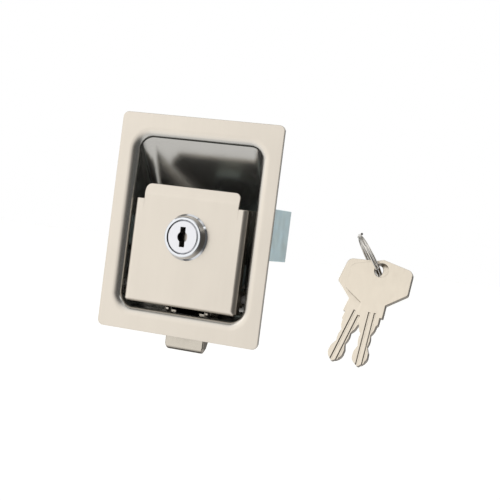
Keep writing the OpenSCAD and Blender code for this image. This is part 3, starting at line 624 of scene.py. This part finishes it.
class PADDLELOCK_OT_tray(bpy.types.Operator):
    """Drawn tray: plate, rolled lip, walls, finger scoop and the bolt's slot, from one sheet"""
    bl_idname = "paddle_lock.tray"
    bl_label = "Tray"

    def execute(self, context):
        s = sizes()
        lip, corner, fillet = s.lip / MM, s.corner / MM, s.fillet / MM
        half_x, half_z = span("tray", 0)[1], span("tray", 2)[1]
        slope = (WALL_Z - SCOOP_FOOT) / (FLOOR - FRONT - lip)
        rows = [ring_points(half_x, -half_z, half_z, s.plate_corner / MM, FRONT)]
        # the lip is rolled wider than it is deep
        reach = s.lip_reach / MM
        out = reach + EDGE_ROW
        rows.append(ring_points(WALL_X + out, -WALL_Z - out, WALL_Z + out, corner + out, FRONT))
        lip_steps, fillet_steps = 8, 6
        for i in range(lip_steps + 1):
            a = math.radians(90 * i / lip_steps)
            out = reach * (1 - math.sin(a))
            y = FRONT + lip * (1 - math.cos(a))
            rows.append(ring_points(WALL_X + out, -WALL_Z - out, WALL_Z + out, corner + out, y))
        wall_end = FLOOR - fillet
        first_wall = len(rows) - 1
        # rows down the walls, two of them at the bolt slot's edges
        depths = [2.4, 5.0, SLOT_Y[0], 13.4, SLOT_Y[1], wall_end]
        for y in depths:
            rows.append(ring_points(WALL_X, -WALL_Z, WALL_Z - (y - FRONT - lip) * slope, corner, y))
        for i in range(1, fillet_steps + 1):
            b = math.radians(90 * i / fillet_steps)
            inset = fillet * (1 - math.cos(b))
            y = wall_end + fillet * math.sin(b)
            top = WALL_Z - (y - FRONT - lip) * slope
            rows.append(ring_points(WALL_X - inset, -WALL_Z + inset, top, corner - inset, y))
        count = len(rows[0])
        points = [p for row in rows for p in row]
        slot_rows = range(first_wall + 1 + depths.index(SLOT_Y[0]), first_wall + 1 + depths.index(SLOT_Y[1]))
        slot_columns = (1, 2)
        faces = []
        for r in range(len(rows) - 1):
            for c in range(count):
                if r in slot_rows and c in slot_columns:
                    continue
                d = (c + 1) % count
                faces.append((r * count + c, (r + 1) * count + c, (r + 1) * count + d, r * count + d))
        last = (len(rows) - 1) * count
        faces.append(tuple(last + c for c in range(count)))
        piece = new_piece("drawn_tray", points, faces, "drawn stainless")
        mesh = bmesh.new()
        mesh.from_mesh(piece.data)
        bmesh.ops.recalc_face_normals(mesh, faces=mesh.faces)
        front = min(mesh.faces, key=lambda f: f.calc_center_median().y)
        if front.normal.y > 0:
            bmesh.ops.reverse_faces(mesh, faces=mesh.faces)
        mesh.to_mesh(piece.data)
        mesh.free()
        stand_for(sheet_metal(piece), "tray")
        return {"FINISHED"}


def tab_top_at(x, corner):
    """Height of the tab's upper edge, with its round corners."""
    beyond = abs(x) - (TAB_HALF - corner)
    return TAB_TOP if beyond <= 0 else TAB_TOP - corner + math.sqrt(max(corner ** 2 - beyond ** 2, 0.0))


def tab_lean(z):
    """How far the tab's front lies behind the paddle's face."""
    blend = 1.0
    t = z - TAB_BEND
    if t <= -blend:
        return 0.0
    if t >= blend:
        return math.tan(TAB_TILT) * t
    return math.tan(TAB_TILT) * (t + blend) ** 2 / (4 * blend)


class PADDLELOCK_OT_paddle(bpy.types.Operator):
    """Pull paddle: folded sheet with side flanges, hinge ears, a folded lower edge and the leaning finger tab"""
    bl_idname = "paddle_lock.paddle"
    bl_label = "Paddle"

    def execute(self, context):
        s = sizes()
        fold, corner = s.fold / MM, s.tab_corner / MM
        face = PADDLE_HALF - fold
        # along a fold: reach past the flat face and depth behind it
        turns = sorted({math.radians(15 * i) for i in range(7)} | {math.asin(1 - NOTCH / fold)})
        bend = [(fold * math.sin(a), fold * (1 - math.cos(a))) for a in turns]
        tab_x = [TAB_HALF - corner * (1 - math.sin(math.radians(15 * i))) for i in range(7)]
        flat = sorted({0.0, 6.0, 12.0, 18.0, *tab_x, face - EDGE_ROW})
        # a place across or up the sheet with its depth; the flanges' rear edges have none
        right = [(x, 0.0) for x in flat] + [(face + reach, back) for reach, back in bend] + [(PADDLE_HALF, None)]
        columns = [(-x, back) for x, back in reversed(right[1:])] + right
        hy, hz = HINGE
        ear = [hz + EAR * math.sin(math.radians(90 * i / 8)) for i in range(-8, 9)]
        low = PADDLE_LOW + fold
        rows = [(PADDLE_LOW, None)] + [(low - reach, back) for reach, back in reversed(bend)]
        rows += [(z, 0.0) for z in sorted({low + EDGE_ROW, *ear, -20.0, -10.0, 0.0, 6.0, SHOULDER})]
        points, faces, grid = [], [], {}
        hair = 0.01

        def vertex(key, place):
            if key not in grid:
                grid[key] = len(points)
                points.append(place)
            return grid[key]

        def at(c, r):
            (x, back_x), (z, back_z) = columns[c], rows[r]
            if back_x is None:
                reach = EAR ** 2 - (z - hz) ** 2
                y = max(PADDLE_FRONT + FLANGE, hy + math.sqrt(reach) if reach > 0 else 0.0)
            elif back_z is None:
                y = PADDLE_FRONT + FLANGE - s.sheet / MM
            else:
                y = PADDLE_FRONT + max(back_x, back_z)
            return vertex((c, r), (x, y, z))

        for c in range(len(columns) - 1):
            beside = min(abs(columns[c][0]), abs(columns[c + 1][0])) > PADDLE_HALF - NOTCH - hair
            for r in range(len(rows) - 1):
                notched = beside and rows[r + 1][0] < PADDLE_LOW + NOTCH + hair
                if not notched:
                    faces.append((at(c, r), at(c + 1, r), at(c + 1, r + 1), at(c, r + 1)))
        # finger tab, with closer rows at its bend
        levels = [SHOULDER, 12.4, 13.2, 13.7, 14.2, 14.7, 15.2, 16.0]
        upper = [c for c, (x, back) in enumerate(columns) if abs(x) <= TAB_HALF + hair]
        for c in upper[:-1]:
            below = (at(c, len(rows) - 1), at(c + 1, len(rows) - 1))
            for i in range(1, len(levels) + 1):
                pair = []
                for k in (c, c + 1):
                    x = columns[k][0]
                    top = tab_top_at(x, corner)
                    z = top if i == len(levels) else min(levels[i], top - 0.1)
                    pair.append(vertex(("tab", k, i), (x, PADDLE_FRONT + tab_lean(z), z)))
                faces.append((below[0], below[1], pair[1], pair[0]))
                below = pair
        piece = new_piece("folded_paddle", points, faces, "brushed stainless")
        stand_for(sheet_metal(piece), "paddle")
        return {"FINISHED"}


class PADDLELOCK_OT_hinge(bpy.types.Operator):
    """Hinge pin with its clip and the two nylon spacers"""
    bl_idname = "paddle_lock.hinge"
    bl_label = "Hinge"

    def execute(self, context):
        softened("hinge_pin", "bright drawn steel", 0.2)
        softened("pin_clip", "patented spring wire", 0.08)
        softened("pin_spacers", "grey nylon", 0.2)
        return {"FINISHED"}


def coil(x, y, radius, low, high, diameter, turns, steps):
    """Upright coil whose end turns lie closed, as points in mm."""
    shut = diameter * 1.05
    rise = high - low - diameter - 2 * shut
    path = []
    for i in range(turns * steps + 1):
        t = i / steps
        closed = (min(t, 1) + max(t - turns + 1, 0)) * shut
        climb = min(max(t - 1, 0), turns - 2) / (turns - 2)
        a = 2 * math.pi * t
        z = low + diameter / 2 + closed + rise * climb
        path.append((x + radius * math.cos(a), y + radius * math.sin(a), z))
    return path


class PADDLELOCK_OT_springs(bpy.types.Operator):
    """Return springs on the pin, bolt springs and wafer springs, each a round wire along its path"""
    bl_idname = "paddle_lock.springs"
    bl_label = "Springs"

    def execute(self, context):
        hy, hz = HINGE
        # a torsion spring: a front leg behind the paddle, the turns round the pin and a leg against the floor
        wire, radius, turns, steps, near = 1.2, 3.2, 4, 32, 16.3
        pitch = wire * 1.2
        path = [(near, hy - 4.4, hz - 2.0), (near, hy - radius, hz - 0.5)]
        for i in range(turns * steps + steps // 4 + 1):
            a = 2 * math.pi * i / steps
            path.append((near + pitch * i / steps, hy - radius * math.cos(a), hz + radius * math.sin(a)))
        end = near + pitch * (turns + 0.25)
        path += [(end, hy + 2, hz + radius), (end, FLOOR - wire / 2 - 0.1, hz + radius + 2)]
        pair = [path, [(-x, y, z) for x, y, z in path]]
        stand_for(wires("return_spring_wire", pair, wire, 12, "patented spring wire"), "return_springs")

        # a coil in each bore of the bolt, which the lifted bolt shortens in the lock; here the coil only gets a
        # mesh of its own
        bore_x, bore_y, wire, radius, turns = 9.3, 15.65, 0.8, 1.75, 8
        bottom, top = span("bolt_springs", 2)
        pair = [coil(x, bore_y, radius, bottom, top, wire, turns, 24) for x in (-bore_x, bore_x)]
        bolt = stand_for(wires("bolt_spring_wire", pair, wire, 10, "patented spring wire"), "bolt_springs")
        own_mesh(bolt)

        # a small coil beside each wafer
        count, first, step = 6, -2.45, 2.2
        beside, wire, radius, turns, bottom, top = 3.45, 0.2, 0.3, 5, -1.0, 3.6
        turn = Matrix.Rotation(-KEYWAY_TURN, 3, "Y")
        coiled = [turn @ Vector(p) for p in coil(beside, 0.0, radius, bottom, top, wire, turns, 12)]
        small = [[tuple(p + Vector((0, first + step * i, LOCK_Z))) for p in coiled] for i in range(count)]
        stand_for(wires("wafer_spring_wire", small, wire, 6, "patented spring wire"), "wafer_springs")
        return {"FINISHED"}


class PADDLELOCK_OT_bolt(bpy.types.Operator):
    """Latch bolt, its guide with rivets, the drive lever and the cam's keeper"""
    bl_idname = "paddle_lock.bolt"
    bl_label = "Bolt"

    def execute(self, context):
        # the ground steel paints shade on the bolt's sides
        softened("latch_bolt", "ground steel", 0.6)
        softened("bolt_guide", "passivated zinc", 0.2)
        softened("drive_lever", "passivated zinc", 0.2)
        softened("keeper", "passivated zinc", 0.2)
        head, shank, dome_height = 2.4, 1.5, 1.2
        inner, outer = span("guide_rivets", 1)
        angles = [math.radians(a) for a in range(0, 90, 15)]
        dome = [(head * math.cos(a), dome_height * math.sin(a)) for a in angles]
        profile = [(0, inner)] + [(r, inner + dome_height - h) for r, h in reversed(dome)]
        profile += [(shank, inner + dome_height), (shank, outer - dome_height)]
        profile += [(r, outer - dome_height + h) for r, h in dome] + [(0, outer)]
        rivet = turned("rivet_pattern", profile, "bright drawn steel", 28)
        left, right = span("guide_rivets", 0)
        lower, upper = span("guide_rivets", 2)
        places = [(x, 0.0, z) for x in (left + head, right - head) for z in (lower + head, upper - head)]
        stand_for(repeated("domed_rivets", rivet, places, "bright drawn steel"), "guide_rivets")
        return {"FINISHED"}


def cylinder_body():
    """Outline at each angle: bezel with a chamfered foot, threaded barrel with two flats, and the plug's bore."""
    left, right = span("cylinder_body", 0)
    front, end = span("cylinder_body", 1)
    face_left, face_right = span("plug", 0)
    broken = 0.1
    foot, mouth = (right - left) / 2, (face_right - face_left) / 2 + broken
    # flat front face with a broken inner edge and a round rim, then the cone to the foot on the paddle
    face = [(mouth, front + broken), (mouth + broken, front)]
    rim = [(BEZEL_RIM - 0.55, front), (BEZEL_RIM - 0.2, front + 0.2), (BEZEL_RIM, front + 0.6)]
    cone = [(foot - BEZEL_FOOT, PADDLE_FRONT - BEZEL_FOOT), (foot - broken, PADDLE_FRONT - broken)]
    bezel = face + rim + cone + [(foot - broken, PADDLE_FRONT)]
    bore = [(PLUG_BORE, end), (PLUG_BORE, front + PLUG_HEAD), (mouth, front + PLUG_HEAD)]
    pitch = sizes().thread / MM

    def outline(angle):
        flat = BARREL_FLAT / max(abs(math.cos(angle)), 0.01)
        barrel, y = [], PADDLE_FRONT
        while y + pitch < end:
            barrel += [(min(BARREL, flat), y), (min(BARREL - pitch * 0.6, flat - 0.01), y + pitch / 2)]
            y += pitch
        return bezel + barrel + [(min(BARREL - 0.4, flat), end)] + bore
    return outline


class PADDLELOCK_OT_cylinder(bpy.types.Operator):
    """Key cylinder: chromed body, nut and washer, plug, wafers, cam and its screw"""
    bl_idname = "paddle_lock.cylinder"
    bl_label = "Key cylinder"

    def execute(self, context):
        body = turned("cylinder_pattern", cylinder_body(), "bright chrome", 96)
        stand_for(repeated("threaded_cylinder", body, [(0.0, 0.0, LOCK_Z)], "bright chrome"), "cylinder_body")
        softened("lock_washer", "patented spring wire", 0.06)
        softened("cylinder_nut", "passivated zinc", 0.3)
        softened("plug", "satin nickel", 0.12)
        softened("wafers", "stamped brass", 0.05)
        softened("cam", "passivated zinc", 0.2)
        softened("cam_washer", "patented spring wire", 0.1)
        softened("cam_screw", "passivated zinc", 0.2)
        return {"FINISHED"}


class PADDLELOCK_OT_clamp(bpy.types.Operator):
    """Clamp strap behind the tray with its threaded studs, washers and nuts"""
    bl_idname = "paddle_lock.clamp"
    bl_label = "Clamp"

    def execute(self, context):
        softened("clamp_strap", "passivated zinc", 0.25)
        places = [(x, 0.0, z) for x, z in STUDS]
        start, end = span("clamp_washers", 1)
        rim = span("clamp_washers", 0)[1] - STUDS[1][0]
        hole, worn = STUD_R + 0.3, rim - 0.3
        # stamped washers are rounder on one side, here the strap's
        edge = [(worn, start), (rim, start + 0.25), (rim - 0.1, end - 0.1), (worn, end)]
        washer = turned("washer_pattern", [(hole, start), *edge, (hole, end)], "passivated zinc")
        stand_for(repeated("plain_washers", washer, places, "passivated zinc"), "clamp_washers")
        lower, upper = span("clamp_nuts", 2)
        outline = hexagon_nut(upper - lower, STUD_R, *span("clamp_nuts", 1))
        nut = turned("nut_pattern", outline, "passivated zinc", 72)
        stand_for(repeated("clamp_hex_nuts", nut, places, "passivated zinc"), "clamp_nuts")
        start, end = span("clamp_studs", 1)
        pitch = sizes().thread / MM
        root = STUD_R - pitch * 0.6
        shank, run_out, chamfer = 1.5, 0.6, 0.5
        y = start + shank
        profile = [(0, start), (STUD_R, start), (STUD_R, y)]
        while y + pitch < end - run_out:
            profile += [(root, y + pitch * 0.45), (root, y + pitch * 0.55), (STUD_R, y + pitch)]
            y += pitch
        profile += [(STUD_R, end - chamfer), (STUD_R - chamfer, end), (0, end)]
        stud = turned("stud_pattern", profile, "passivated zinc", 24)
        stand_for(repeated("threaded_studs", stud, places, "passivated zinc"), "clamp_studs")
        return {"FINISHED"}


class PADDLELOCK_OT_keys(bpy.types.Operator):
    """The two keys"""
    bl_idname = "paddle_lock.keys"
    bl_label = "Keys"

    def execute(self, context):
        softened("key_1", "tumbled key nickel", 0.2, "front_key_blank")
        softened("key_2", "tumbled key nickel", 0.2, "rear_key_blank")
        return {"FINISHED"}


class PADDLELOCK_OT_key_ring(bpy.types.Operator):
    """Split ring of two turns through both keys"""
    bl_idname = "paddle_lock.key_ring"
    bl_label = "Key ring"

    def execute(self, context):
        # the ring's own directions, and the point where it passes through the keys' holes
        down = Vector((0.5142, 0.1779, -0.839))
        away = Vector((-0.4212, 0.9045, -0.0663))
        axle = down.cross(away)
        holes = Vector((98.55, -1.77, -8.84))
        radius, wire = 11.2, 1.1
        centre = holes - radius * math.sqrt(0.5) * (down - away)
        # the ends lie three steps apart, clear of the keys, and the turns lie almost closed
        steps, turns, gap, split, pitch = 96, 2, 3, 200, wire * 1.08
        path = []
        for i in range(turns * steps - gap):
            a = math.radians(360 * i / steps + split)
            lift = axle * pitch * (i / steps - turns / 2)
            path.append(tuple(centre + radius * (math.cos(a) * down + math.sin(a) * away) + lift))
        stand_for(wires("split_ring", [path], wire, 14, "nickel wire"), "key_ring")
        return {"FINISHED"}


# parts of the room that are dimmer or brighter: the way there, the angles in degrees where the change starts and
# is full, and the share of light there
ROOM_PARTS = (
    ((0.70, -0.71, 0.05), 62, 36, 0.13),
    ((-0.41, 0.0, 0.912), 46, 24, 0.25),
    ((-0.2, 0.3, -0.93), 34, 16, 0.12),
    ((0.40, 0.915, 0.0), 20, 10, 0.3),
    ((-0.41, -0.81, 0.43), 28, 10, 1.4),
    ((-0.64, -0.71, -0.29), 36, 14, 1.4),
)
# camera that was fitted to the photograph; its aim is in mm and its distance in metres
CAMERA_AIM = (33.526, -1.5, -6.719)
CAMERA_DISTANCE = 0.64672
CAMERA_AZIMUTH = math.radians(24.233)
CAMERA_ELEVATION = math.radians(0.848)
CAMERA_ROLL = math.radians(7.337)
CAMERA_LENS = 99.03
# softboxes in metres and watts: place, what they face, side and power
SOFTBOXES = {
    "key_softbox": ((-1.3, -0.7, 0.5), (0.0, 0.0, 0.0), 0.8, 1.6),
    "top_softbox": ((-0.4, -0.2, 1.4), (0.0, 0.0, 0.0), 0.8, 1.6),
    "side_softbox": ((0.9, -0.8, 0.9), (0.05, 0.0, 0.0), 0.5, 1.0),
}


def lay_floor(scene):
    """Pale paper sheet under the part."""
    reach, level = 6.0, -0.125
    corners = [(-reach, -reach, level), (reach, -reach, level), (reach, reach, level), (-reach, reach, level)]
    floor = bpy.data.meshes.new("floor")
    floor.from_pydata(corners, [], [(0, 1, 2, 3)])
    paper, tree, shader, place = start_material("matt white paper", 0.0)
    fibres = grain(tree, place, [3.0, 3.0, 3.0], 2.0).outputs["Fac"]
    base = colours().floor
    tree.links.new(tint(tree, fibres, rgba(base, 0.99), rgba(base)), shader.inputs["Base Color"])
    shader.inputs["Roughness"].default_value = 0.9
    # the sheet glows a little, so that it stays white to the horizon
    shader.inputs["Emission Color"].default_value = rgba(base)
    shader.inputs["Emission Strength"].default_value = 0.45
    floor.materials.append(paper)
    ground = bpy.data.objects.new("floor", floor)
    scene.collection.objects.link(ground)
    ground.visible_glossy = False


def light_room(scene):
    """A pale room with dimmer and brighter parts, white where the camera sees it."""
    world = bpy.data.worlds.new("studio")
    world.use_nodes = True
    scene.world = world
    tree = world.node_tree
    tree.nodes.clear()
    seen = add(tree, "ShaderNodeLightPath").outputs["Is Camera Ray"]
    way = add(tree, "ShaderNodeTexCoord").outputs["Generated"]
    level = 1.0
    for aim, wide, narrow, share in ROOM_PARTS:
        aim = Vector(aim).normalized()
        near = add(tree, "ShaderNodeVectorMath", {0: way, 1: aim}, operation="DOT_PRODUCT").outputs["Value"]
        part = add(tree, "ShaderNodeMapRange", {
            "Value": near, "From Min": math.cos(math.radians(wide)), "From Max": math.cos(math.radians(narrow)),
            "To Min": 1.0, "To Max": share}, interpolation_type="SMOOTHSTEP").outputs["Result"]
        level = add(tree, "ShaderNodeMath", {0: part, 1: level}, operation="MULTIPLY").outputs["Value"]
    white = (1.0, 1.0, 1.0, 1.0)
    room = add(tree, "ShaderNodeBackground", {"Color": white, "Strength": level})
    paper = add(tree, "ShaderNodeBackground", {"Color": white, "Strength": 1.0})
    mixed = add(tree, "ShaderNodeMixShader", {0: seen, 1: room.outputs[0], 2: paper.outputs[0]})
    add(tree, "ShaderNodeOutputWorld", {"Surface": mixed.outputs[0]})


def hang_softbox(scene, name, place, target, side, power):
    lamp = bpy.data.lights.new(name, "AREA")
    lamp.shape = "RECTANGLE"
    lamp.size, lamp.size_y, lamp.energy = side, side, power
    body = bpy.data.objects.new(name, lamp)
    body.location = place
    body.rotation_euler = (Vector(target) - Vector(place)).to_track_quat("-Z", "Y").to_euler()
    scene.collection.objects.link(body)


def set_camera(scene):
    lens = bpy.data.cameras.new("camera")
    lens.sensor_width = 36.0
    lens.lens = CAMERA_LENS
    lens.clip_start = 0.01
    eye = bpy.data.objects.new("camera", lens)
    right = Vector((math.cos(CAMERA_AZIMUTH), math.sin(CAMERA_AZIMUTH), 0.0))
    level = Vector((math.sin(CAMERA_AZIMUTH), -math.cos(CAMERA_AZIMUTH), 0.0))
    back = level * math.cos(CAMERA_ELEVATION) + Vector((0.0, 0.0, math.sin(CAMERA_ELEVATION)))
    up = back.cross(right)
    across = math.cos(CAMERA_ROLL) * right + math.sin(CAMERA_ROLL) * up
    above = -math.sin(CAMERA_ROLL) * right + math.cos(CAMERA_ROLL) * up
    turn = Matrix((across, above, back)).transposed().to_4x4()
    eye.matrix_world = Matrix.Translation(Vector(CAMERA_AIM) * MM + back * CAMERA_DISTANCE) @ turn
    scene.collection.objects.link(eye)
    scene.camera = eye


class PADDLELOCK_OT_stage(bpy.types.Operator):
    """Pale floor, soft studio lights and the camera at the photograph's angle"""
    bl_idname = "paddle_lock.stage"
    bl_label = "Stage"

    def execute(self, context):
        scene = context.scene
        scene.view_settings.view_transform = "Standard"
        lay_floor(scene)
        light_room(scene)
        for name, (place, target, side, power) in SOFTBOXES.items():
            hang_softbox(scene, name, place, target, side, power)
        set_camera(scene)
        return {"FINISHED"}


class PADDLELOCK_PT_panel(bpy.types.Panel):
    bl_idname = "PADDLELOCK_PT_panel"
    bl_label = "Paddle lock"
    bl_space_type = "VIEW_3D"
    bl_region_type = "UI"
    bl_category = "Paddle lock"

    def draw(self, context):
        for kind in OPERATORS:
            self.layout.operator(kind.bl_idname)
        for group in (context.scene.paddle_lock_sizes, context.scene.paddle_lock_colours):
            for name in group.__annotations__:
                self.layout.prop(group, name)


OPERATORS = (
    PADDLELOCK_OT_stage, PADDLELOCK_OT_tray, PADDLELOCK_OT_paddle, PADDLELOCK_OT_hinge, PADDLELOCK_OT_springs,
    PADDLELOCK_OT_bolt, PADDLELOCK_OT_cylinder, PADDLELOCK_OT_clamp, PADDLELOCK_OT_keys, PADDLELOCK_OT_key_ring,
)
CLASSES = (LockSizes, LockColours, *OPERATORS, PADDLELOCK_PT_panel)


def register():
    for kind in CLASSES:
        bpy.utils.register_class(kind)
    bpy.types.Scene.paddle_lock_sizes = bpy.props.PointerProperty(type=LockSizes)
    bpy.types.Scene.paddle_lock_colours = bpy.props.PointerProperty(type=LockColours)


def unregister():
    del bpy.types.Scene.paddle_lock_colours
    del bpy.types.Scene.paddle_lock_sizes
    for kind in reversed(CLASSES):
        bpy.utils.unregister_class(kind)


def main():
    register()
    for kind in OPERATORS:
        group, name = kind.bl_idname.split(".")
        getattr(getattr(bpy.ops, group), name)()


if __name__ == "__main__":
    main()
